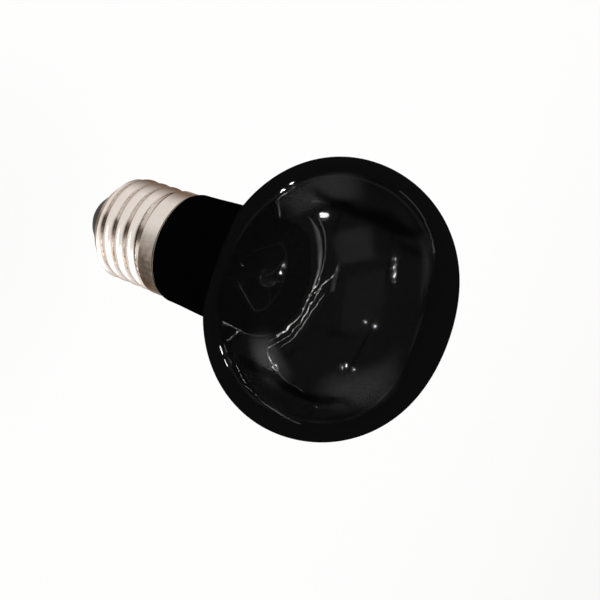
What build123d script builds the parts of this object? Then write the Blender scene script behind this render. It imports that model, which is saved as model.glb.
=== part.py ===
from build123d import *
import math
import os

os.makedirs("parts", exist_ok=True)

# All sizes are in millimetres. The lamp stands on its centre contact, its axis is Z and its face looks up.

# Screw shell
pitch = 3.629
crest_radius = 13.15
thread_depth = 1.05
sheet = 0.3
ridge_radius = 1.6
ridge_sink = 0.15
shell_end_z = 7.0
shell_end_radius = 10.8
end_cone_height = 3.2
end_cone_growth = 2.6
thread_start_z = 6.1
thread_turns = 4.7
collar_start_z = 23.2
collar_step = 0.1
collar_top_z = 27.4

# Insulator, contact and solder
contact_radius = 4.75
contact_height = 1.6
contact_edge = 0.8
eyelet_radius = 1.5
insulator_tip_radius = 6.0
insulator_top_z = 10.5
solder_height = 2.3

# Glass envelope
wall = 1.0
neck_end_z = 20.0
neck_clearance = 0.8
shoulder_gap = 0.2
shoulder_overhang = 0.45
shoulder_round = 1.2
shoulder_inner_round = 0.4
neck_taper = 0.5
flare_round = 8.0
widest_z = 68.7
widest_radius = 32.1
back_arc = 22.8
front_arc = 25.9
front_arc_angle = math.radians(62)
apex_z = 95.0

# Glass stem
rim_height = 1.0
trumpet_pull = 4.6
trumpet_top_z = 27.0
stem_tube_radius = 5.0
stem_wall = 1.0
stem_tube_top_z = 37.5
stem_floor = 1.5
pinch_width = 9.6
pinch_depth = 4.4
pinch_start_z = 36.5
pinch_top_z = 45.0
pinch_round = 1.4
exhaust_radius = 2.0
exhaust_bore = 1.1
exhaust_tip_z = 17.0
exhaust_tip_glass = 3.0
exhaust_port_z = 39.5
rod_radius = 1.2
button_radius = 2.3
button_z = 51.6

# Wires and filament
lead_radius = 0.25
lead_bend = 1.0
lead_spread = 3.2
lead_leave_z = 43.5
lead_end_x = 8.4
lead_end_z = 51.2
centre_bend_z = 16.0
centre_axis_z = 12.0
centre_end_z = 0.8
weld_turns = 3
filament_radius = 0.3
support_radius = 0.2
support_root = 1.0
support_angles = (45, 90, 135)

# Sizes that follow from the ones above
root_radius = crest_radius - thread_depth
cone_slope = end_cone_growth / end_cone_height
cone_wall = sheet * math.hypot(1, cone_slope)
cone_top_z = shell_end_z + end_cone_height
collar_radius = crest_radius + collar_step
collar_bore = collar_radius - sheet
inner_end_radius = shell_end_radius - cone_wall
inner_root_radius = root_radius - sheet
inner_root_z = shell_end_z + (inner_root_radius - inner_end_radius) / cone_slope
collar_floor_z = collar_start_z + sheet
beyond_shell = 2 * crest_radius
side_weld_z = thread_start_z + weld_turns * pitch
neck_end_radius = inner_root_radius - neck_clearance
inner_neck_end_radius = neck_end_radius - wall
shoulder_z = collar_top_z + shoulder_gap
shoulder_radius = collar_radius + shoulder_overhang
neck_top_radius = shoulder_radius + neck_taper
back_centre_r = widest_radius - back_arc
front_centre_r = widest_radius - front_arc
filament_start = math.degrees(math.asin(lead_radius / (lead_end_x - filament_radius)))


def bulb_wall(inset, corner_z):
    """Draw the half outline of the bulb, moved in by the inset, from the top of the shoulder to the apex."""
    neck_r = neck_top_radius - inset
    back_r = back_arc - inset
    front_r = front_arc - inset
    round_r = flare_round + inset
    flare_r = neck_r + round_r
    flare_z = widest_z - math.sqrt((back_r + round_r) ** 2 - (flare_r - back_centre_r) ** 2)
    flare_angle = math.atan2(widest_z - flare_z, flare_r - back_centre_r)
    low = (shoulder_radius - inset, corner_z)
    apex = (0, apex_z - inset)
    Spline(low, (neck_r, flare_z), tangents=[(0, 1), (0, 1)])
    CenterArc((flare_r, flare_z), round_r, 180, -math.degrees(flare_angle))
    CenterArc((back_centre_r, widest_z), back_r, -math.degrees(flare_angle), math.degrees(flare_angle))
    front = CenterArc((front_centre_r, widest_z), front_r, 0, math.degrees(front_arc_angle))
    Spline(front @ 1, apex, tangents=[front % 1, (-1, 0)])


def shell_body(inset, end_radius, collar_low_z):
    """A solid plug with a rounded ridge on a right-hand helix, an end cone that fades the ridge out and a collar."""
    ridge_r = ridge_radius - inset
    root_r = root_radius - inset
    foot_r = root_r - ridge_sink
    half_foot = math.sqrt(ridge_r ** 2 - (foot_r - crest_radius + ridge_radius) ** 2)
    low = (foot_r, thread_start_z - half_foot)
    high = (foot_r, thread_start_z + half_foot)
    with BuildPart() as body:
        with BuildLine() as path:
            Helix(pitch, thread_turns * pitch, foot_r, center=(0, 0, thread_start_z))
        with BuildSketch(Plane.XZ):
            with BuildLine():
                ThreePointArc(low, (crest_radius - inset, thread_start_z), high)
                Line(high, low)
            make_face()
        sweep(path=path.line, is_frenet=True)
        with BuildSketch(Plane.XY):
            Circle(root_r)
        extrude(amount=collar_top_z)
        with BuildSketch(Plane.XZ):
            Polygon(
                (0, 0),
                (beyond_shell, 0),
                (beyond_shell, cone_top_z),
                (end_radius + end_cone_growth, cone_top_z),
                (end_radius, shell_end_z),
                (0, shell_end_z),
                align=None,
            )
        revolve(axis=Axis.Z, mode=Mode.SUBTRACT)
        with BuildSketch(Plane.XY.offset(collar_low_z)):
            Circle(collar_radius - inset)
        extrude(amount=collar_top_z - collar_low_z)
    return body.part


# Blown glass bulb with its neck drawn in at the end
with BuildPart() as glass_envelope:
    with BuildSketch(Plane.XZ):
        with BuildLine():
            corner_z = shoulder_z + shoulder_round
            Polyline(
                (0, apex_z),
                (0, neck_end_z),
                (neck_end_radius, neck_end_z),
                (neck_end_radius, shoulder_z),
                (shoulder_radius - shoulder_round, shoulder_z),
            )
            CenterArc((shoulder_radius - shoulder_round, corner_z), shoulder_round, -90, 90)
            bulb_wall(0, corner_z)
        make_face()
    revolve(axis=Axis.Z)
    with BuildSketch(Plane.XZ):
        with BuildLine():
            inner_corner_z = shoulder_z + wall + shoulder_inner_round
            inner_corner_r = shoulder_radius - wall - shoulder_inner_round
            Polyline(
                (0, apex_z - wall),
                (0, neck_end_z),
                (inner_neck_end_radius, neck_end_z),
                (inner_neck_end_radius, shoulder_z + wall),
                (inner_corner_r, shoulder_z + wall),
            )
            CenterArc((inner_corner_r, inner_corner_z), shoulder_inner_round, -90, 90)
            bulb_wall(wall, inner_corner_z)
        make_face()
    revolve(axis=Axis.Z, mode=Mode.SUBTRACT)
glass_envelope.part.label = "glass_envelope"
export_step(glass_envelope.part, "parts/glass_envelope.step")

# Thin screw shell, rolled from sheet: the same body taken from itself, smaller by the thickness of the sheet
with BuildPart() as screw_shell:
    add(shell_body(0, shell_end_radius, collar_start_z))
    add(shell_body(sheet, inner_end_radius, collar_floor_z), mode=Mode.SUBTRACT)
screw_shell.part.label = "screw_shell"
export_step(screw_shell.part, "parts/screw_shell.step")

# Black glass plug held in the end of the shell
with BuildPart() as cap_insulator:
    with BuildSketch(Plane.XZ):
        Polygon(
            (eyelet_radius, contact_height),
            (insulator_tip_radius, contact_height),
            (inner_end_radius, shell_end_z),
            (inner_root_radius, inner_root_z),
            (inner_root_radius, insulator_top_z),
            (eyelet_radius, insulator_top_z),
            align=None,
        )
    revolve(axis=Axis.Z)
cap_insulator.part.label = "cap_insulator"
export_step(cap_insulator.part, "parts/cap_insulator.step")

# Eyelet of the centre contact
with BuildPart() as centre_contact:
    with BuildSketch(Plane.XY):
        Circle(contact_radius)
        Circle(eyelet_radius, mode=Mode.SUBTRACT)
    extrude(amount=contact_height)
    rim_edges = centre_contact.edges().filter_by(GeomType.CIRCLE).group_by(Axis.Z)[0]
    fillet(rim_edges.sort_by(SortBy.RADIUS)[-1], contact_edge)
centre_contact.part.label = "centre_contact"
export_step(centre_contact.part, "parts/centre_contact.step")

# Lead from the filament through the pinch and down the axis to the contact
with BuildPart() as lead_wire_centre:
    with BuildLine(Plane.XZ) as centre_path:
        FilletPolyline(
            (lead_end_x, lead_end_z),
            (lead_spread, lead_leave_z),
            (lead_spread, centre_bend_z),
            (0, centre_axis_z),
            (0, centre_end_z),
            radius=lead_bend,
        )
    with BuildSketch(Plane(centre_path.line @ 0, z_dir=centre_path.line % 0)):
        Circle(lead_radius)
    sweep(path=centre_path.line)
lead_wire_centre.part.label = "lead_wire_centre"
export_step(lead_wire_centre.part, "parts/lead_wire_centre.step")

# Lead from the filament through the pinch and out to the wall of the shell
with BuildPart() as lead_wire_side:
    with BuildLine(Plane.XZ) as side_path:
        FilletPolyline(
            (-lead_end_x, lead_end_z),
            (-lead_spread, lead_leave_z),
            (-lead_spread, side_weld_z),
            (-inner_root_radius, side_weld_z),
            radius=lead_bend,
        )
    with BuildSketch(Plane(side_path.line @ 0, z_dir=side_path.line % 0)):
        Circle(lead_radius)
    sweep(path=side_path.line)
lead_wire_side.part.label = "lead_wire_side"
export_step(lead_wire_side.part, "parts/lead_wire_side.step")

# Solder that fills the eyelet round the centre lead
with BuildPart() as contact_solder:
    with BuildSketch(Plane.XY):
        Circle(eyelet_radius)
    extrude(amount=solder_height)
    add(lead_wire_centre.part, mode=Mode.SUBTRACT)
contact_solder.part.label = "contact_solder"
export_step(contact_solder.part, "parts/contact_solder.step")

# Coiled filament on a half circle between the leads
with BuildPart() as filament:
    with BuildLine(Plane.XY.offset(lead_end_z)) as coil_path:
        CenterArc((0, 0), lead_end_x, filament_start, 180 - 2 * filament_start)
    with BuildSketch(Plane(coil_path.line @ 0, z_dir=coil_path.line % 0)):
        Circle(filament_radius)
    sweep(path=coil_path.line)
filament.part.label = "filament"
export_step(filament.part, "parts/filament.step")

# Three thin wires that carry the filament from the button
support_wires = []
for number, angle in enumerate(support_angles, start=1):
    turn = math.radians(angle)
    with BuildPart() as support_wire:
        with BuildLine() as support_path:
            Line(
                (support_root * math.cos(turn), support_root * math.sin(turn), button_z),
                (
                    (lead_end_x - filament_radius) * math.cos(turn),
                    (lead_end_x - filament_radius) * math.sin(turn),
                    lead_end_z,
                ),
            )
        with BuildSketch(Plane(support_path.line @ 0, z_dir=support_path.line % 0)):
            Circle(support_radius)
        sweep(path=support_path.line)
    support_wire.part.label = f"support_wire_{number}"
    export_step(support_wire.part, f"parts/support_wire_{number}.step")
    support_wires.append(support_wire.part)

# Stem: flare, tube, pinch, exhaust tube, rod and button fused into one piece of glass
with BuildPart() as glass_stem:
    with BuildSketch(Plane.XZ):
        with BuildLine():
            rim_low_z = neck_end_z - rim_height
            bore = stem_tube_radius - stem_wall
            Polyline(
                (0, stem_tube_top_z - stem_floor),
                (0, stem_tube_top_z),
                (stem_tube_radius, stem_tube_top_z),
                (stem_tube_radius, trumpet_top_z),
            )
            Bezier(
                (stem_tube_radius, trumpet_top_z),
                (stem_tube_radius, trumpet_top_z - trumpet_pull),
                (inner_neck_end_radius - trumpet_pull, neck_end_z),
                (inner_neck_end_radius, neck_end_z),
            )
            Polyline(
                (inner_neck_end_radius, neck_end_z),
                (neck_end_radius, neck_end_z),
                (neck_end_radius, rim_low_z),
                (inner_neck_end_radius, rim_low_z),
            )
            Bezier(
                (inner_neck_end_radius, rim_low_z),
                (inner_neck_end_radius - trumpet_pull, rim_low_z),
                (bore, trumpet_top_z - trumpet_pull - rim_height),
                (bore, trumpet_top_z),
            )
            Polyline(
                (bore, trumpet_top_z),
                (bore, stem_tube_top_z - stem_floor),
                (0, stem_tube_top_z - stem_floor),
            )
        make_face()
    revolve(axis=Axis.Z)
    with BuildSketch(Plane.XY.offset(pinch_start_z)):
        RectangleRounded(pinch_width, pinch_depth, pinch_round)
    extrude(amount=pinch_top_z - pinch_start_z)
    with BuildSketch(Plane.XY.offset(exhaust_tip_z + exhaust_radius)):
        Circle(exhaust_radius)
    extrude(until=Until.NEXT)
    with Locations((0, 0, exhaust_tip_z + exhaust_radius)):
        Sphere(exhaust_radius)
    with BuildSketch(Plane.XY.offset(pinch_top_z)):
        Circle(rod_radius)
    extrude(amount=button_z - pinch_top_z)
    with Locations((0, 0, button_z)):
        Sphere(button_radius)
    with BuildSketch(Plane.XY.offset(exhaust_tip_z + exhaust_tip_glass)):
        Circle(exhaust_bore)
    extrude(amount=exhaust_port_z - exhaust_tip_z - exhaust_tip_glass, mode=Mode.SUBTRACT)
    with BuildSketch(Plane.XZ):
        with Locations((0, exhaust_port_z)):
            Circle(exhaust_bore)
    extrude(amount=-pinch_depth, mode=Mode.SUBTRACT)
    add(lead_wire_centre.part, mode=Mode.SUBTRACT)
    add(lead_wire_side.part, mode=Mode.SUBTRACT)
    add(support_wires, mode=Mode.SUBTRACT)
glass_stem.part.label = "glass_stem"
export_step(glass_stem.part, "parts/glass_stem.step")

# Ring of cement between the neck and the collar
with BuildPart() as basing_cement:
    with BuildSketch(Plane.XY.offset(collar_floor_z)):
        Circle(collar_bore)
        Circle(neck_end_radius, mode=Mode.SUBTRACT)
    extrude(amount=shoulder_z - collar_floor_z)
basing_cement.part.label = "basing_cement"
export_step(basing_cement.part, "parts/basing_cement.step")
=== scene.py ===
import math

import bpy
from mathutils import Matrix, Vector, noise


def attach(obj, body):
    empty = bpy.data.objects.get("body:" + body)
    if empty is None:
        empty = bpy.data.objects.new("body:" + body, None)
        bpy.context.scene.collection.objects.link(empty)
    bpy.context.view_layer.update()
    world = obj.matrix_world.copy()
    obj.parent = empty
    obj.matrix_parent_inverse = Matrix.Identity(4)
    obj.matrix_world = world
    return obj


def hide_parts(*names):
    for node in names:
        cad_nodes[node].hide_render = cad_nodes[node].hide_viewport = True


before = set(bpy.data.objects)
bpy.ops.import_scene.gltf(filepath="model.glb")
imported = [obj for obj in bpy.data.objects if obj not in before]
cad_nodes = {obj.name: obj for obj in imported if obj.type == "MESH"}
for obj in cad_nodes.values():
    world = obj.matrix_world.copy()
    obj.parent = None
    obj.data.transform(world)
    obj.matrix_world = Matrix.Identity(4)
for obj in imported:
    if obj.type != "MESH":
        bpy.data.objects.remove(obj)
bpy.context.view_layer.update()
scene = bpy.context.scene

MM = 0.001

# Sizes of the bulb, the same as in the CAD source, in millimetres
wall = 1.0
neck_end_z = 20.0
neck_end_radius = 11.0
shoulder_z = 27.6
shoulder_radius = 13.7
shoulder_round = 1.2
shoulder_inner_round = 0.4
neck_top_radius = 14.2
flare_round = 8.0
widest_z = 68.7
widest_radius = 32.1
back_arc = 22.8
front_arc = 25.9
front_arc_degrees = 62
apex_z = 95.0

# Sizes of the filament and the screw shell, the same as in the CAD source, in millimetres
lead_radius = 0.25
lead_end_x = 8.4
lead_end_z = 51.2
filament_radius = 0.3
pitch = 3.629
crest_radius = 13.15
thread_depth = 1.05
root_radius = crest_radius - thread_depth
sheet = 0.3
ridge_radius = 1.6
shell_end_z = 7.0
shell_end_radius = 10.8
end_cone_height = 3.2
end_cone_growth = 2.6
thread_start_z = 6.1
collar_start_z = 23.2
collar_step = 0.1
collar_radius = crest_radius + collar_step
collar_top_z = 27.4

# Camera, fitted to the photograph in the lamp's frame
camera_place = Vector((0.0, -183.526, 153.900)) * MM
camera_right = Vector((-0.34087, 0.42649, 0.83780))
camera_up = Vector((-0.94004, -0.14359, -0.30937))
camera_back = Vector((-0.01164, -0.89302, 0.44986))
sensor_width = 36.0
focal_length = 54.0
nearest_seen = 0.005
farthest_seen = 100.0

# Fineness of the meshes
segments = 256
shoulder_steps = 8
shoulder_inner_steps = 4
neck_steps = 16
flare_steps = 18
bowl_steps = 34
dome_steps = 34
crown_steps = 24
tiny = 1e-6


# Outlines
def hermite(start, end, start_way, end_way, steps):
    """Points on a cubic between two points, without the first; the chord stretches the directions."""
    chord = math.dist(start, end)
    points = []
    for index in range(1, steps + 1):
        share = index / steps
        start_weight = 2 * share ** 3 - 3 * share ** 2 + 1
        start_pull = (share ** 3 - 2 * share ** 2 + share) * chord
        end_weight = 3 * share ** 2 - 2 * share ** 3
        end_pull = (share ** 3 - share ** 2) * chord
        points.append(tuple(
            start_weight * start[axis] + start_pull * start_way[axis]
            + end_weight * end[axis] + end_pull * end_way[axis]
            for axis in range(2)
        ))
    return points


def arc(centre, radius, first, last, steps):
    """Points on an arc in degrees, without the first point."""
    points = []
    for index in range(1, steps + 1):
        turn = math.radians(first + (last - first) * index / steps)
        points.append((centre[0] + radius * math.cos(turn), centre[1] + radius * math.sin(turn)))
    return points


def bulb_profile(inset, corner_z):
    """Half outline of the bulb from the top of the shoulder to the apex, as in the CAD source."""
    neck_radius = neck_top_radius - inset
    back_radius = back_arc - inset
    front_radius = front_arc - inset
    round_radius = flare_round + inset
    flare_radius = neck_radius + round_radius
    back_centre = (widest_radius - back_arc, widest_z)
    front_centre = (widest_radius - front_arc, widest_z)
    aside = flare_radius - back_centre[0]
    flare_z = widest_z - math.sqrt((back_radius + round_radius) ** 2 - aside ** 2)
    flare_degrees = math.degrees(math.atan2(widest_z - flare_z, aside))
    crown_turn = math.radians(front_arc_degrees)
    crown_way = (-math.sin(crown_turn), math.cos(crown_turn))
    low = (shoulder_radius - inset, corner_z)
    points = [low]
    points += hermite(low, (neck_radius, flare_z), (0, 1), (0, 1), neck_steps)
    points += arc((flare_radius, flare_z), round_radius, 180, 180 - flare_degrees, flare_steps)
    points += arc(back_centre, back_radius, -flare_degrees, 0, bowl_steps)
    points += arc(front_centre, front_radius, 0, front_arc_degrees, dome_steps)
    points += hermite(points[-1], (0, apex_z - inset), crown_way, (-1, 0), crown_steps)
    return points


def outline_at(outline, z):
    """Radius of a half outline at a height, and its normal as (outwards, upwards)."""
    for (low_radius, low_z), (high_radius, high_z) in zip(outline, outline[1:]):
        if low_z <= z <= high_z:
            radius = low_radius + (high_radius - low_radius) * (z - low_z) / (high_z - low_z)
            return radius, Vector((high_z - low_z, low_radius - high_radius)).normalized()


# Meshes and curves
def mesh_object(name, vertices, faces):
    """Smooth mesh object in the scene."""
    mesh = bpy.data.meshes.new(name)
    mesh.from_pydata(vertices, [], faces)
    mesh.polygons.foreach_set("use_smooth", [True] * len(mesh.polygons))
    mesh.update()
    made = bpy.data.objects.new(name, mesh)
    scene.collection.objects.link(made)
    return made


def ring_points(row):
    """Points round the axis, in metres, from a (radius, z) pair for each segment."""
    points = []
    for index, (radius, z) in enumerate(row):
        turn = 2 * math.pi * index / segments
        points.append((radius * math.cos(turn) * MM, radius * math.sin(turn) * MM, z * MM))
    return points


def revolve(rows, name):
    """Mesh object from rows of (radius, z); a radius of zero closes the row to a point."""
    vertices = []
    faces = []
    starts = []
    for radius, z in rows:
        starts.append(len(vertices))
        if radius < tiny:
            vertices.append((0, 0, z * MM))
        else:
            vertices += ring_points([(radius, z)] * segments)
    for row in range(len(rows) - 1):
        low = starts[row]
        high = starts[row + 1]
        for index in range(segments):
            after = (index + 1) % segments
            if rows[row][0] < tiny:
                faces.append((low, high + after, high + index))
            elif rows[row + 1][0] < tiny:
                faces.append((low + index, low + after, high))
            else:
                faces.append((low + index, low + after, high + after, high + index))
    return mesh_object(name, vertices, faces)


def ring_mesh(rows, name):
    """Closed mesh object from rows with a (radius, z) pair for each segment, joined in a loop."""
    vertices = []
    faces = []
    for row in rows:
        vertices += ring_points(row)
    for row in range(len(rows)):
        low = row * segments
        high = (row + 1) % len(rows) * segments
        for index in range(segments):
            after = (index + 1) % segments
            faces.append((low + index, low + after, high + after, high + index))
    return mesh_object(name, vertices, faces)


def wire_object(name, radius):
    """Empty curve object in the scene, swept as a round wire of a radius in millimetres."""
    curve = bpy.data.curves.new(name, "CURVE")
    curve.dimensions = "3D"
    curve.bevel_depth = radius * MM
    curve.bevel_resolution = 1
    made = bpy.data.objects.new(name, curve)
    scene.collection.objects.link(made)
    return made


def axes_matrix(right, up, back, spot):
    """Matrix that turns an object to three axes and moves it to a spot."""
    return Matrix((
        (right.x, up.x, back.x, spot.x),
        (right.y, up.y, back.y, spot.y),
        (right.z, up.z, back.z, spot.z),
        (0, 0, 0, 1),
    ))


class Shading:
    """Short ways to add nodes to one shader tree; a value is a number, a colour or another node's socket."""

    def __init__(self, tree):
        self.tree = tree

    def feed(self, socket, value):
        """Put a value on an input socket."""
        if isinstance(value, bpy.types.NodeSocket):
            self.tree.links.new(value, socket)
        elif isinstance(value, tuple):
            socket.default_value = (*value, 1)
        else:
            socket.default_value = value

    def add(self, kind, **values):
        """Node of a kind, with values on its named inputs."""
        made = self.tree.nodes.new(kind)
        for key, value in values.items():
            self.feed(made.inputs[key.replace("_", " ")], value)
        return made

    def math(self, operation, first, second=0.0):
        """Result of a math node."""
        made = self.tree.nodes.new("ShaderNodeMath")
        made.operation = operation
        self.feed(made.inputs[0], first)
        self.feed(made.inputs[1], second)
        return made.outputs[0]

    def product(self, first, *factors):
        """Product of two or more values."""
        for factor in factors:
            first = self.math("MULTIPLY", first, factor)
        return first

    def step(self, value, low, high, first, last, kind="SMOOTHSTEP"):
        """Rise or fall from one number to another while a value goes between two limits."""
        made = self.add(
            "ShaderNodeMapRange", Value=value, From_Min=low, From_Max=high, To_Min=first, To_Max=last
        )
        made.interpolation_type = kind
        return made.outputs[0]

    def noise(self, place, scale, detail):
        """Noise from zero to one at a scale per metre."""
        return self.add("ShaderNodeTexNoise", Vector=place, Scale=scale, Detail=detail).outputs[0]

    def mix(self, factor, first, second):
        """Colour between two colours."""
        made = self.tree.nodes.new("ShaderNodeMix")
        made.data_type = "RGBA"
        self.feed(made.inputs[0], factor)
        self.feed(made.inputs[6], first)
        self.feed(made.inputs[7], second)
        return made.outputs[2]

    def blend(self, factor, first, second):
        """Shader between two shader nodes."""
        made = self.tree.nodes.new("ShaderNodeMixShader")
        self.feed(made.inputs[0], factor)
        self.feed(made.inputs[1], first.outputs[0])
        self.feed(made.inputs[2], second.outputs[0])
        return made

    def place(self):
        """Place on the object, in metres."""
        return self.tree.nodes.new("ShaderNodeTexCoord").outputs["Object"]

    def parts(self, place, axes):
        """Parts of a place along the named axes, in millimetres."""
        scaled = self.tree.nodes.new("ShaderNodeVectorMath")
        scaled.operation = "SCALE"
        self.feed(scaled.inputs["Vector"], place)
        self.feed(scaled.inputs["Scale"], 1 / MM)
        split = self.add("ShaderNodeSeparateXYZ", Vector=scaled.outputs[0])
        return [split.outputs[axis] for axis in axes]

    def bump(self, height, strength, distance):
        """Normal of a surface raised by a height."""
        return self.add("ShaderNodeBump", Height=height, Strength=strength, Distance=distance).outputs[0]

    def seen_ray(self):
        """One for rays from the camera, a mirror or glass, and zero for the rays that light things."""
        path = self.tree.nodes.new("ShaderNodeLightPath")
        seen = self.math("MAXIMUM", path.outputs["Is Camera Ray"], path.outputs["Is Glossy Ray"])
        return self.math("MAXIMUM", seen, path.outputs["Is Transmission Ray"])

    def show(self, shader):
        """Make a shader node the surface of the material."""
        out = self.tree.nodes.new("ShaderNodeOutputMaterial")
        self.tree.links.new(shader.outputs[0], out.inputs["Surface"])


def new_material(name):
    """Material with an empty tree, and the helper that fills it."""
    made = bpy.data.materials.new(name)
    made.use_nodes = True
    made.node_tree.nodes.clear()
    return made, Shading(made.node_tree)


# Dark glass: what each surface passes above the neck's black, and how weakly it mirrors
glass_black = (0.0011, 0.0011, 0.0011)
glass_roughness = 0.048
glass_pass = 0.22
glass_shine = 0.040
black_end_z = (52.5, 53.5)
shine_start_z = (46.0, 56.0)
slant_power = 4.2
slant_gain = 1.8
ripple_scale = 38.0
ripple_strength = 0.05
ripple_height = 0.002

# Rim of the glass by how far it faces away: open, then a broken bright line, then closed
rim_start = 0.54
rim_line = 0.575
rim_line_end = 0.60
rim_closed = 0.62
rim_wave_scale = 42.0
rim_wave = 0.16
rim_patch_scale = 34.0
rim_patches = (0.47, 0.62)
rim_shine = 0.16

# Painted dark reflections: ragged streaks in the glass that mirror and pass less, with limits in millimetres
streak_x = 18.5
streak_scale = 95.0
streak_wander = 9.0
streak_edge = (0.5, 1.7)
streak_depth = 0.8
streak_start_z = (66.0, 71.0)
streak_end_z = (85.0, 91.0)


def glass_material(name):
    """Near-black glass: a little light passes above the neck's black, and it mirrors weakly and unevenly,
    with ragged painted dark reflections.
    """
    made, tree = new_material(name)
    place = tree.place()
    x, z = tree.parts(place, "XZ")
    slant = tree.add("ShaderNodeLayerWeight", Blend=0.5).outputs["Facing"]
    facing = tree.math("ADD", slant, tree.product(tree.noise(place, rim_wave_scale, 2.0), rim_wave))
    above_black = tree.step(z, *black_end_z, 0.0, 1.0)
    passing = tree.product(above_black, tree.step(facing, rim_start, rim_closed, glass_pass, 0.0))

    line_in = tree.step(facing, rim_start, rim_line, 0.0, 1.0)
    line_out = tree.step(facing, rim_line, rim_line_end, 1.0, 0.0)
    patches = tree.step(tree.noise(place, rim_patch_scale, 3.0), *rim_patches, 0.0, rim_shine)
    shine = tree.math("ADD", tree.product(line_in, line_out, patches), glass_shine)
    square_on = tree.math("POWER", tree.math("SUBTRACT", 1.0, slant), slant_power)
    evened = tree.math("MINIMUM", tree.product(square_on, slant_gain), 1.0)
    shine = tree.product(shine, evened, tree.step(z, *shine_start_z, 0.0, 1.0))

    # Painted dark reflections: ragged streaks to each side where the glass mirrors and passes less
    ragged = tree.product(tree.math("SUBTRACT", tree.noise(place, streak_scale, 5.0), 0.5), streak_wander)
    aside = tree.math("ADD", tree.math("ABSOLUTE", x), ragged)
    off = tree.math("ABSOLUTE", tree.math("SUBTRACT", aside, streak_x))
    streak = tree.step(off, *streak_edge, streak_depth, 0.0)
    streak_in = tree.step(z, *streak_start_z, 0.0, 1.0)
    streak_out = tree.step(z, *streak_end_z, 1.0, 0.0)
    plain = tree.math("SUBTRACT", 1.0, tree.product(streak, streak_in, streak_out))

    tree.show(tree.add(
        "ShaderNodeBsdfPrincipled", Base_Color=glass_black, Roughness=glass_roughness,
        Alpha=tree.math("SUBTRACT", 1.0, tree.product(passing, plain)),
        Specular_IOR_Level=tree.product(shine, plain),
        Normal=tree.bump(tree.noise(place, ripple_scale, 1.0), ripple_strength, ripple_height),
    ))
    return made


# Silvering: where it begins on the far wall, and how its edge sags to the sides, in millimetres and degrees
film_start_z = 51.2
film_sag = 0.0009
film_most_sag = 7.0
film_half_turn = 100.0
film_side_slope = 0.45
film_ragged_scale = 220.0
film_ragged = 1.6
film_fade = 0.08
film_cloud_scale = 90.0
film_dull = (0.80, 0.80, 0.80)
film_bright = (0.95, 0.95, 0.95)
film_roughness = 0.05
film_swell_scale = 110.0
film_swell = 2.5
film_swell_height = 0.00004


def film_material(name):
    """Silver film on the bowl that begins above the neck in a ragged edge."""
    made, tree = new_material(name)
    place = tree.place()
    x, y, z = tree.parts(place, "XYZ")
    turn = tree.math("DEGREES", tree.math("ARCTAN2", x, y))
    sag = tree.math("MINIMUM", tree.product(turn, turn, film_sag), film_most_sag)
    ragged = tree.math("SUBTRACT", tree.noise(place, film_ragged_scale, 4.0), 0.5)
    ragged = tree.product(ragged, film_ragged)
    above = tree.math("SUBTRACT", z, tree.math("SUBTRACT", film_start_z, sag))
    inside = tree.math("ADD", above, ragged)
    to_side = tree.math("SUBTRACT", film_half_turn, tree.math("ABSOLUTE", turn))
    inside = tree.math("MINIMUM", inside, tree.product(to_side, film_side_slope))
    swell = tree.product(tree.noise(place, film_swell_scale, 2.0), film_swell)
    tree.show(tree.add(
        "ShaderNodeBsdfPrincipled", Metallic=1.0, Roughness=film_roughness,
        Base_Color=tree.mix(tree.noise(place, film_cloud_scale, 4.0), film_dull, film_bright),
        Alpha=tree.step(inside, -film_fade, film_fade, 0.0, 1.0),
        Normal=tree.bump(swell, 1.0, film_swell_height),
    ))
    return made


# Cap: its plating, with painted shade and painted dark reflections on it, each with the limits in millimetres
# between which it fades
fine_grain = 900.0
broad_grain = 160.0
plate_dark = (0.70, 0.625, 0.565)
plate_light = (0.82, 0.75, 0.69)
plate_tint = (0.55, 0.46, 0.40)
plate_roughness = (0.17, 0.27)
# Painted shade in the thread's valleys, weaker on the upper (-X) side
valley_shade_brown = (0.20, 0.145, 0.105)
valley_radius = (12.12, 12.38)
valley_lower_x = (-6.0, -1.0)
valley_upper_share = 0.4
# Painted dark reflection along the cap's upper (-X) edge
edge_dark_reflection = (0.15, 0.098, 0.074)
edge_x = (-12.9, -8.0)
edge_share = 0.97
# Painted dark reflection in a band down the front of the cap, below the crests
dark_band_brown = (0.09, 0.065, 0.048)
dark_band_start_x = (-2.0, 0.2)
dark_band_end_x = (1.2, 5.0)
dark_band_y = (-6.0, -2.0)
dark_band_radius = (12.25, 12.95)
dark_band_share = 0.95
# Painted dark reflection on the collar's lower (+X) side, broken by a mottle
collar_dark_reflection = (0.055, 0.037, 0.023)
collar_edge_z = (22.9, 23.5)
collar_lower_x = (-3.0, 4.0)
collar_shares = (0.05, 0.95)
collar_mottle = (0.55, 0.95)
collar_least_mottle = 0.88


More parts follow.
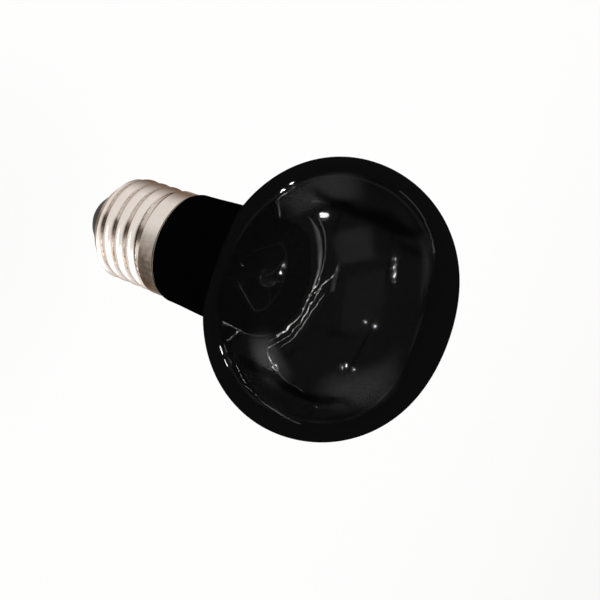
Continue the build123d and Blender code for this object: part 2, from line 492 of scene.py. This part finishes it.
def cap_material(name):
    """Warm nickel plating, with painted shade in the thread's valleys and painted dark reflections on the
    upper edge, in a band on the front and, mottled, on the collar's lower side.
    """
    made, tree = new_material(name)
    place = tree.place()
    x, y, z = tree.parts(place, "XYZ")
    radius = tree.math("SQRT", tree.math("ADD", tree.product(x, x), tree.product(y, y)))
    fine = tree.noise(place, fine_grain, 4.0)
    broad = tree.noise(place, broad_grain, 4.0)
    plate = tree.mix(fine, plate_dark, plate_light)

    # Painted shade: the thread's valleys darkened brown, in patches, more on the lower (+X) side than the
    # upper
    in_valley = tree.step(radius, *valley_radius, 1.0, 0.0)
    patchy = tree.step(broad, 0.3, 0.65, 0.3, 1.0)
    lower = tree.step(x, *valley_lower_x, valley_upper_share, 1.0)
    plate = tree.mix(tree.product(in_valley, patchy, lower), plate, valley_shade_brown)
    # Painted dark reflection: the upper (-X) edge darkened brown
    plate = tree.mix(tree.step(x, *edge_x, edge_share, 0.0), plate, edge_dark_reflection)

    # Painted dark reflection: a brown band down the front (-Y) side, between the crests
    dark_band_in = tree.step(x, *dark_band_start_x, 0.0, dark_band_share)
    dark_band_out = tree.step(x, *dark_band_end_x, 1.0, 0.0)
    in_front = tree.step(y, *dark_band_y, 1.0, 0.0)
    under_crest = tree.step(radius, *dark_band_radius, 1.0, 0.0)
    plate = tree.mix(tree.product(dark_band_in, dark_band_out, in_front, under_crest), plate, dark_band_brown)

    # Painted dark reflection: the collar darkened brown towards its lower (+X) side, mottled
    on_collar = tree.step(z, *collar_edge_z, 0.0, 1.0)
    lower = tree.step(x, *collar_lower_x, *collar_shares)
    grain = tree.math("ADD", broad, tree.product(fine, 0.5))
    mottle = tree.step(grain, *collar_mottle, 1.0, collar_least_mottle)
    plate = tree.mix(tree.product(on_collar, lower, mottle), plate, collar_dark_reflection)
    tree.show(tree.add(
        "ShaderNodeBsdfPrincipled", Metallic=1.0, Base_Color=plate, Specular_Tint=plate_tint,
        Roughness=tree.step(fine, 0.3, 0.7, *plate_roughness),
    ))
    return made


# Plain finishes: how dark their specks are, and how far their roughness goes
metal_dull = 0.82
metal_roughness = (0.75, 1.25)
mineral_dark = 0.6
mineral_grain = 600.0
smoke_scale = 260.0
smoke_grey = (0.84, 0.87, 0.87)
smoke_clear = (0.95, 0.96, 0.96)
smoke_roughness = (0.01, 0.05)


def metal_material(name, colour, roughness, grain):
    """Plain metal with uneven colour and roughness at a given grain."""
    made, tree = new_material(name)
    speck = tree.noise(tree.place(), grain, 5.0)
    dull = tuple(metal_dull * part for part in colour)
    smoothest, roughest = (share * roughness for share in metal_roughness)
    tree.show(tree.add(
        "ShaderNodeBsdfPrincipled", Metallic=1.0,
        Base_Color=tree.mix(tree.step(speck, 0.3, 0.7, 0.0, 1.0, "LINEAR"), dull, colour),
        Roughness=tree.step(speck, 0.0, 1.0, smoothest, roughest, "LINEAR"),
    ))
    return made


def mineral_material(name, colour, roughness, shine):
    """Hard mineral surface with a fine mottle."""
    made, tree = new_material(name)
    dark = tuple(mineral_dark * part for part in colour)
    tree.show(tree.add(
        "ShaderNodeBsdfPrincipled", Roughness=roughness, Specular_IOR_Level=shine,
        Base_Color=tree.mix(tree.noise(tree.place(), mineral_grain, 4.0), dark, colour),
    ))
    return made


def clear_glass_material(name):
    """Clear drawn glass with a faint smoke and uneven skin."""
    made, tree = new_material(name)
    smoke = tree.noise(tree.place(), smoke_scale, 3.0)
    tree.show(tree.add(
        "ShaderNodeBsdfPrincipled", IOR=1.5, Transmission_Weight=1.0,
        Base_Color=tree.mix(smoke, smoke_grey, smoke_clear),
        Roughness=tree.step(smoke, 0.3, 0.7, *smoke_roughness),
    ))
    return made


# Floor: its grey under the lamps, and how much of it is plain white where it is seen
paper_grey = (0.85, 0.85, 0.85)
paper_white_share = 0.85
white = (1.0, 1.0, 1.0)


def paper_material(name):
    """White paper: lit by the lamps, and mostly white to the camera and in reflections."""
    made, tree = new_material(name)
    paper = tree.add("ShaderNodeBsdfDiffuse", Color=paper_grey)
    plain_white = tree.add("ShaderNodeEmission", Color=white, Strength=1.0)
    tree.show(tree.blend(tree.product(tree.seen_ray(), paper_white_share), paper, plain_white))
    return made


# Envelope: inner wall, end of the neck and outer wall in one mesh
corner_z = shoulder_z + shoulder_round
corner_radius = shoulder_radius - shoulder_round
outer_half = bulb_profile(0, corner_z)
outer = [(neck_end_radius, neck_end_z), (neck_end_radius, shoulder_z), (corner_radius, shoulder_z)]
outer += arc((corner_radius, corner_z), shoulder_round, -90, 0, shoulder_steps)
outer += outer_half[1:]
inner_end_radius = neck_end_radius - wall
inner_shoulder_z = shoulder_z + wall
inner_corner_z = inner_shoulder_z + shoulder_inner_round
inner_corner_radius = shoulder_radius - wall - shoulder_inner_round
inner = [(inner_end_radius, neck_end_z), (inner_end_radius, inner_shoulder_z)]
inner += [(inner_corner_radius, inner_shoulder_z)]
inner += arc((inner_corner_radius, inner_corner_z), shoulder_inner_round, -90, 0, shoulder_inner_steps)
inner += bulb_profile(wall, inner_corner_z)[1:]
envelope = revolve(list(reversed(inner)) + outer, "envelope")
envelope.data.materials.append(glass_material("dark_glass"))
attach(envelope, "root")
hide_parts("glass_envelope")

# Silvering: a film on the inside of the bowl
film_low_z = 38.0
film_high_z = 68.0
film_lift = 0.06
film_half = bulb_profile(wall + film_lift, inner_corner_z)
film_rows = [(radius, z) for radius, z in film_half if film_low_z <= z <= film_high_z]
silvering = revolve(film_rows, "silvering")
silvering.data.materials.append(film_material("silver_film"))
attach(silvering, "root")

# Raised edge of the silvering: strands of (degrees, height, thickness) points on the inner wall
arc_strands = (
    ((147, 50.2, 0.05), (134, 51.3, 0.54), (118, 52.1, 0.54), (105, 52.4, 0.30), (93, 52.1, 0.08)),
    ((143, 51.6, 0.16), (130, 52.5, 0.18), (116, 52.9, 0.10), (104, 52.8, 0.03)),
    ((37.6, 53.3, 0.12), (36.8, 54.0, 0.55), (35.8, 54.7, 0.12)),
)
ragged_strands = (
    (
        (108, 52.7, 0.03), (97, 52.6, 0.18), (88, 52.0, 0.24),
        (74, 51.9, 0.20), (60, 51.3, 0.32), (44, 50.0, 0.34),
    ),
    ((95, 53.6, 0.06), (84, 52.8, 0.18), (70, 52.5, 0.14), (56, 51.9, 0.16), (40, 50.5, 0.18)),
    ((92, 54.4, 0.03), (80, 53.5, 0.10), (64, 53.1, 0.07), (48, 52.0, 0.07)),
    ((111, 56.0, 0.04), (103, 55.2, 0.18), (96, 53.6, 0.20), (88, 52.2, 0.12)),
    (
        (41, 50.6, 0.10), (37, 51.4, 0.12), (36, 53.0, 0.26),
        (37, 54.0, 0.30), (35, 55.2, 0.22), (36, 57.5, 0.26),
    ),
    ((36, 57.5, 0.06), (38, 60.4, 0.025), (37, 63.0, 0.015)),
    ((-4, 45.4, 0.05), (2, 43.9, 0.18), (10, 45.0, 0.20), (23, 47.3, 0.14), (44, 49.4, 0.06)),
    ((194, 46.8, 0.05), (189, 48.9, 0.10), (182, 50.8, 0.03)),
    ((159, 51.2, 0.11), (151, 53.7, 0.07), (147, 56.0, 0.025)),
)
strand_steps = 24
height_rate = 4.0
strand_wander = 0.32
wander_rate = 0.17
wander_seed = 7.3
swell_rate = 0.5
swell_seed = 3.1
swell_middle = 0.42
swell_range = 0.8
swell_least = 0.12


def add_strand(curve, number, strand, is_ragged):
    """Add a strand to the curve, lying on the film; a ragged one wanders in height and swells."""
    spline = curve.splines.new("POLY")
    spans = len(strand) - 1
    spline.points.add(spans * strand_steps)
    for index, point in enumerate(spline.points):
        span = min(index // strand_steps, spans - 1)
        start = Vector(strand[span])
        turn, z, thick = start + (Vector(strand[span + 1]) - start) * (index / strand_steps - span)
        if is_ragged:
            run = turn + height_rate * z
            z += strand_wander * noise.noise(Vector((run * wander_rate, wander_seed * number, 0.5)))
            swell = noise.noise(Vector((run * swell_rate, swell_seed * number, 4.5)))
            thick *= max(swell_middle + swell_range * swell, swell_least)
        radius = outline_at(film_half, z)[0] - thick
        way = math.radians(turn)
        point.co = (radius * math.cos(way) * MM, radius * math.sin(way) * MM, z * MM, 1)
        point.radius = thick


silver_edge = wire_object("silver_edge", 1.0)
for number, strand in enumerate(arc_strands + ragged_strands):
    add_strand(silver_edge.data, number, strand, number >= len(arc_strands))
silver_edge.data.materials.append(metal_material("silver_bead", (0.92, 0.92, 0.92), 0.5, 500.0))
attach(silver_edge, "root")

# Screw shell: the rolled sheet of the CAD model, with the thread running out under the collar
run_out_start_turn = 4.25
run_out_end_turn = 4.95
crease_round = 0.18
collar_corner = 0.08
outer_row_step = 0.08
inner_row_step = 0.3
sharp_degrees = 40


def smooth_step(value, low, high):
    """Rise from zero to one between two limits."""
    share = min(max((value - low) / (high - low), 0.0), 1.0)
    return share * share * (3 - 2 * share)


def rounded_larger(first, second):
    """Larger of two numbers, with the corner between them rounded."""
    overlap = max(crease_round - abs(first - second), 0.0)
    return max(first, second) + overlap ** 2 / (4 * crease_round)


def shell_radius(turn, z):
    """Outside radius of the screw shell below the collar, at an angle in whole turns and a height."""
    radius = root_radius
    for whole in range(math.ceil(run_out_end_turn)):
        along = turn + whole
        offset = z - thread_start_z - pitch * along
        if abs(offset) < ridge_radius and along < run_out_end_turn:
            sink = thread_depth * smooth_step(along, run_out_start_turn, run_out_end_turn)
            ridge = crest_radius - ridge_radius - sink + math.sqrt(ridge_radius ** 2 - offset ** 2)
            radius = rounded_larger(radius, ridge)
    cone = shell_end_radius + (z - shell_end_z) * end_cone_growth / end_cone_height
    return -rounded_larger(-radius, -cone)


def shell_rows(inset, step):
    """Rows of points up one side of the sheet, from the end to the top of the collar."""
    rows = []
    count = round((collar_start_z - shell_end_z) / step)
    for index in range(count + 1):
        z = shell_end_z + (collar_start_z - shell_end_z) * index / count
        rows.append([(shell_radius(column / segments, z) - inset, z) for column in range(segments)])
    for radius, z in (
        (collar_radius - collar_corner, collar_start_z),
        (collar_radius, collar_start_z + collar_corner),
        (collar_radius, collar_top_z - collar_corner),
        (collar_radius - collar_corner, collar_top_z),
    ):
        rows.append([(radius - inset, z)] * segments)
    return rows


outer_rows = shell_rows(0.0, outer_row_step)
inner_rows = shell_rows(sheet, inner_row_step)
shell = ring_mesh(outer_rows + list(reversed(inner_rows)), "rolled_shell")
shell.data.set_sharp_from_angle(angle=math.radians(sharp_degrees))
shell.data.materials.append(cap_material("nickel"))
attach(shell, "root")
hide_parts("screw_shell")

# Filament: a fine coil along the half circle of the CAD rod
coil_turns = 170
coil_steps = 12
coil_wire = 0.05
coil_radius = filament_radius - coil_wire
coil_start = math.asin(lead_radius / (lead_end_x - filament_radius))
coil = wire_object("filament_coil", coil_wire)
coil_line = coil.data.splines.new("POLY")
coil_line.points.add(coil_turns * coil_steps)
for index, point in enumerate(coil_line.points):
    along = coil_start + (math.pi - 2 * coil_start) * index / (coil_turns * coil_steps)
    twist = 2 * math.pi * index / coil_steps
    radius = lead_end_x + coil_radius * math.cos(twist)
    height = lead_end_z + coil_radius * math.sin(twist)
    point.co = (radius * math.cos(along) * MM, radius * math.sin(along) * MM, height * MM, 1)
coil.data.materials.append(metal_material("tungsten_wire", (0.35, 0.35, 0.36), 0.4, 900.0))
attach(coil, "root")
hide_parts("filament")

# Pieces straight from the CAD model
support_names = ("support_wire_1", "support_wire_2", "support_wire_3")
lead_names = ("lead_wire_centre", "lead_wire_side")
finishes = (
    (("centre_contact",), metal_material("contact_brass", (0.55, 0.47, 0.36), 0.4, 700.0)),
    (("contact_solder",), metal_material("solder_tin", (0.6, 0.6, 0.58), 0.35, 900.0)),
    (lead_names, metal_material("lead_nickel", (0.6, 0.58, 0.55), 0.3, 900.0)),
    (support_names, metal_material("molybdenum", (0.5, 0.5, 0.5), 0.3, 900.0)),
    (("cap_insulator",), mineral_material("black_cap_glass", (0.02, 0.016, 0.013), 0.3, 0.004)),
    (("basing_cement",), mineral_material("grey_cement", (0.5, 0.45, 0.38), 0.9, 0.3)),
    (("glass_stem",), clear_glass_material("stem_glass")),
)
for node_names, finish in finishes:
    for node_name in node_names:
        node_mesh = cad_nodes[node_name].data
        node_mesh.materials.clear()
        node_mesh.materials.append(finish)

# White floor, in metres
floor_z = -0.06
floor_reach = 12.0
floor_corners = [(x * floor_reach, y * floor_reach, floor_z) for x, y in ((-1, -1), (1, -1), (1, 1), (-1, 1))]
floor = mesh_object("floor", floor_corners, [(0, 1, 2, 3)])
floor.data.materials.append(paper_material("white_paper"))


# Lamps, each linked to what it lights, with sizes and distances in metres
def group(name, members):
    """Collection of the objects that a lamp lights."""
    made = bpy.data.collections.new(name)
    for member in members:
        made.objects.link(member)
    return made


cap_end_names = ("cap_insulator", "centre_contact", "contact_solder")
inside_names = ("glass_stem",) + lead_names + support_names
glass_only = group("lit_glass", [envelope])
cap_only = group("lit_cap", [shell] + [cad_nodes[name] for name in cap_end_names])
edge_only = group("lit_edge", [silver_edge])
inside_only = group("lit_inside", [coil] + [cad_nodes[name] for name in inside_names])
floor_only = group("lit_floor", [floor])


def soften(light, soft):
    """Fade a lamp towards its edges over a share of its width and height."""
    light.use_nodes = True
    tree = Shading(light.node_tree)
    spread = tree.add("ShaderNodeNewGeometry").outputs["Parametric"]
    split = tree.add("ShaderNodeSeparateXYZ", Vector=spread)
    fades = []
    for axis in "XY":
        off = tree.math("ABSOLUTE", tree.math("SUBTRACT", split.outputs[axis], 0.5))
        fades.append(tree.step(off, 0.5 - soft, 0.5, 1.0, 0.0))
    tree.feed(light.node_tree.nodes["Emission"].inputs["Strength"], tree.product(*fades))


def lamp(name, spot, way, width, height, radiance, lit, soft=0.0, along=camera_up):
    """Area lamp of a radiance at a spot, shining back along a direction on a group."""
    light = bpy.data.lights.new(name, "AREA")
    light.shape = "RECTANGLE"
    light.size = width
    light.size_y = height
    light.energy = radiance * math.pi * width * height
    if soft:
        soften(light, soft)
    made = bpy.data.objects.new(name, light)
    scene.collection.objects.link(made)
    up = (along - way * along.dot(way)).normalized()
    made.matrix_world = axes_matrix(up.cross(way), up, way, spot)
    made.visible_camera = False
    made.visible_diffuse = lit != glass_only
    made.light_linking.receiver_collection = lit
    return made


def mirror_way(turn, z):
    """Point on the bulb at an angle in degrees and a height, and the way that the camera sees in it."""
    radius, slope = outline_at(outer_half, z)
    side = Vector((math.cos(math.radians(turn)), math.sin(math.radians(turn)), 0))
    point = (side * radius + Vector((0, 0, z))) * MM
    normal = side * slope.x + Vector((0, 0, slope.y))
    sight = (point - camera_place).normalized()
    return point, sight - 2 * sight.dot(normal) * normal


def glass_lamp(name, turn, z, reach, width, height, radiance, soft=0.0):
    """Lamp whose reflection is seen at a point of the glass."""
    point, way = mirror_way(turn, z)
    lamp(name, point + way * reach, way, width, height, radiance, glass_only, soft)


def glass_strip(name, first, last, reach, width, radiance, soft=0.0):
    """Strip lamp whose reflection is seen between two points of the glass."""
    first_point, first_way = mirror_way(*first)
    last_point, last_way = mirror_way(*last)
    start = first_point + first_way * reach
    end = last_point + last_way * reach
    way = (first_way + last_way).normalized()
    length = (end - start).length
    lamp(name, (start + end) / 2, way, width, length, radiance, glass_only, soft, end - start)


inner_middle = Vector((0.0, 20.0, 51.5)) * MM
inner_way = (camera_back + 0.5 * camera_up).normalized()
inner_reach = 0.3
inner_width = 0.2


def inner_lamp(name, radiance, lit):
    """Lamp for pieces inside the bulb, which the glass neither dims nor shades."""
    spot = inner_middle + inner_way * inner_reach
    made = lamp(name, spot, inner_way, inner_width, inner_width, radiance, lit)
    made.light_linking.blocker_collection = lit


cap_middle = Vector((0.0, 0.0, 15.0)) * MM
cap_soft = 0.3


def cap_lamp(name, way, reach, width, height, radiance):
    """Soft lamp on the cap from a direction."""
    way = Vector(way).normalized()
    lamp(name, cap_middle + way * reach, way, width, height, radiance, cap_only, cap_soft)


# Dots and the row of beads: small lamps of one width, by the degrees and height of their reflection
dot = 0.022
dot_reach = 1.2
dot_radiance = 1200.0
bead_radiance = 800.0
bead_start = (-120.2, 88.1)
bead_step = (1.85, 0.3)
bead_heights = (0.034, 0.014, 0.028, 0.038, 0.030, 0.012)
for name, turn, z in (
    ("low_dot_1", -62.5, 86.3), ("low_dot_2", -63.5, 87.1), ("low_dot_3", -61.2, 88.2),
    ("mid_dot_1", -85.9, 88.1), ("mid_dot_2", -85.2, 89.5),
):
    glass_lamp(name, turn, z, dot_reach, dot, dot, dot_radiance)
for index, height in enumerate(bead_heights):
    turn = bead_start[0] + bead_step[0] * index
    z = bead_start[1] + bead_step[1] * index
    glass_lamp(f"bead_{index}", turn, z, dot_reach, dot, height, bead_radiance)

# Glints and boxes: name, degrees and height of the reflection, distance, width, height, radiance, soft edge
for values in (
    ("big_glint", -118.6, 74.3, 0.3, 0.035, 0.025, 400.0),
    ("high_glint_1", -124.4, 62.3, 0.13, 0.006, 0.007, 700.0),
    ("high_glint_2", -128.7, 62.8, 0.13, 0.005, 0.006, 700.0),
    ("button_glint_1", -95.6, 71.8, 0.2, 0.009, 0.009, 400.0),
    ("button_glint_2", -92.8, 71.4, 0.2, 0.007, 0.009, 400.0),
    ("left_streak_1", -56.3, 61.4, 0.12, 0.004, 0.010, 600.0),
    ("left_streak_2", -52.0, 63.0, 0.12, 0.003, 0.010, 450.0),
    ("key_box", -113.9, 81.5, 0.7, 0.5, 0.42, 3.0, 0.22),
    ("face_box", -94.8, 86.8, 0.7, 0.55, 0.58, 1.0, 0.1),
    ("low_left_box", -61.0, 73.0, 0.25, 0.17, 0.24, 19.0, 0.45),
    ("right_box", -137.7, 91.7, 0.5, 0.14, 0.40, 6.0, 0.45),
):
    glass_lamp(*values)

# Strips: name, degrees and height of both ends of the reflection, distance, width, radiance, soft edge
for values in (
    ("top_glow", (-113.0, 66.0), (-141.0, 77.5), 0.15, 0.11, 9.0, 0.3),
    ("low_glow", (-55.5, 81.5), (-64.5, 93.8), 0.5, 0.32, 11.0, 0.45),
    ("fin", (-103.0, 80.8), (-93.0, 81.4), 0.5, 0.03, 9.0),
    ("low_rim_1", (-54.0, 65.9), (-45.0, 69.4), 0.12, 0.004, 40.0),
    ("low_rim_2", (-45.5, 69.2), (-38.0, 74.4), 0.12, 0.004, 18.0),
    ("low_rim_3", (-38.5, 74.4), (-30.0, 78.7), 0.12, 0.004, 16.0),
    ("right_rim_1", (-153.0, 81.2), (-155.0, 87.3), 0.3, 0.01, 11.0),
    ("right_rim_2", (-154.0, 87.6), (-150.0, 91.4), 0.3, 0.01, 11.0),
):
    glass_strip(*values)

# Lamps on the inside, by name, radiance and what they light
inner_lamp("edge_lamp", 140.0, edge_only)
inner_lamp("inside_lamp", 5.0, inside_only)

# Lamps on the cap, by name, direction, distance, width, height and radiance
cap_lamp("cap_side", (1.0, -0.12, 0.05), 0.16, 0.2, 0.18, 1.7)
cap_lamp("cap_front", (0.55, -0.75, -0.30), 0.14, 0.10, 0.16, 1.7)
cap_lamp("cap_high", (0.8, -0.4, 0.5), 0.22, 0.18, 0.18, 1.5)

# Lamp on the floor
top_way = Vector((-0.2, -0.1, 1.0)).normalized()
top_reach = 1.6
top_width = 1.2
top_radiance = 3.6
top_place = Vector((0.0, 0.0, widest_z)) * MM + top_way * top_reach
lamp("studio_top", top_place, top_way, top_width, top_width, top_radiance, floor_only)

# World: soft warm light, and plain white where it is seen
sky_warm_white = (1.0, 0.96, 0.93)
sky_strength = 0.7
world = bpy.data.worlds.new("studio")
scene.world = world
world.use_nodes = True
sky = Shading(world.node_tree)
soft_light = world.node_tree.nodes["Background"]
sky.feed(soft_light.inputs["Color"], sky_warm_white)
sky.feed(soft_light.inputs["Strength"], sky_strength)
white_back = sky.add("ShaderNodeBackground", Color=white, Strength=1.0)
sky_blend = sky.blend(sky.seen_ray(), soft_light, white_back)
sky.feed(world.node_tree.nodes["World Output"].inputs["Surface"], sky_blend.outputs[0])

# Camera
camera_data = bpy.data.cameras.new("camera")
camera_data.sensor_width = sensor_width
camera_data.lens = focal_length
camera_data.clip_start = nearest_seen
camera_data.clip_end = farthest_seen
camera = bpy.data.objects.new("camera", camera_data)
scene.collection.objects.link(camera)
camera.matrix_world = axes_matrix(camera_right, camera_up, camera_back, camera_place)
scene.camera = camera
scene.view_settings.view_transform = "Standard"
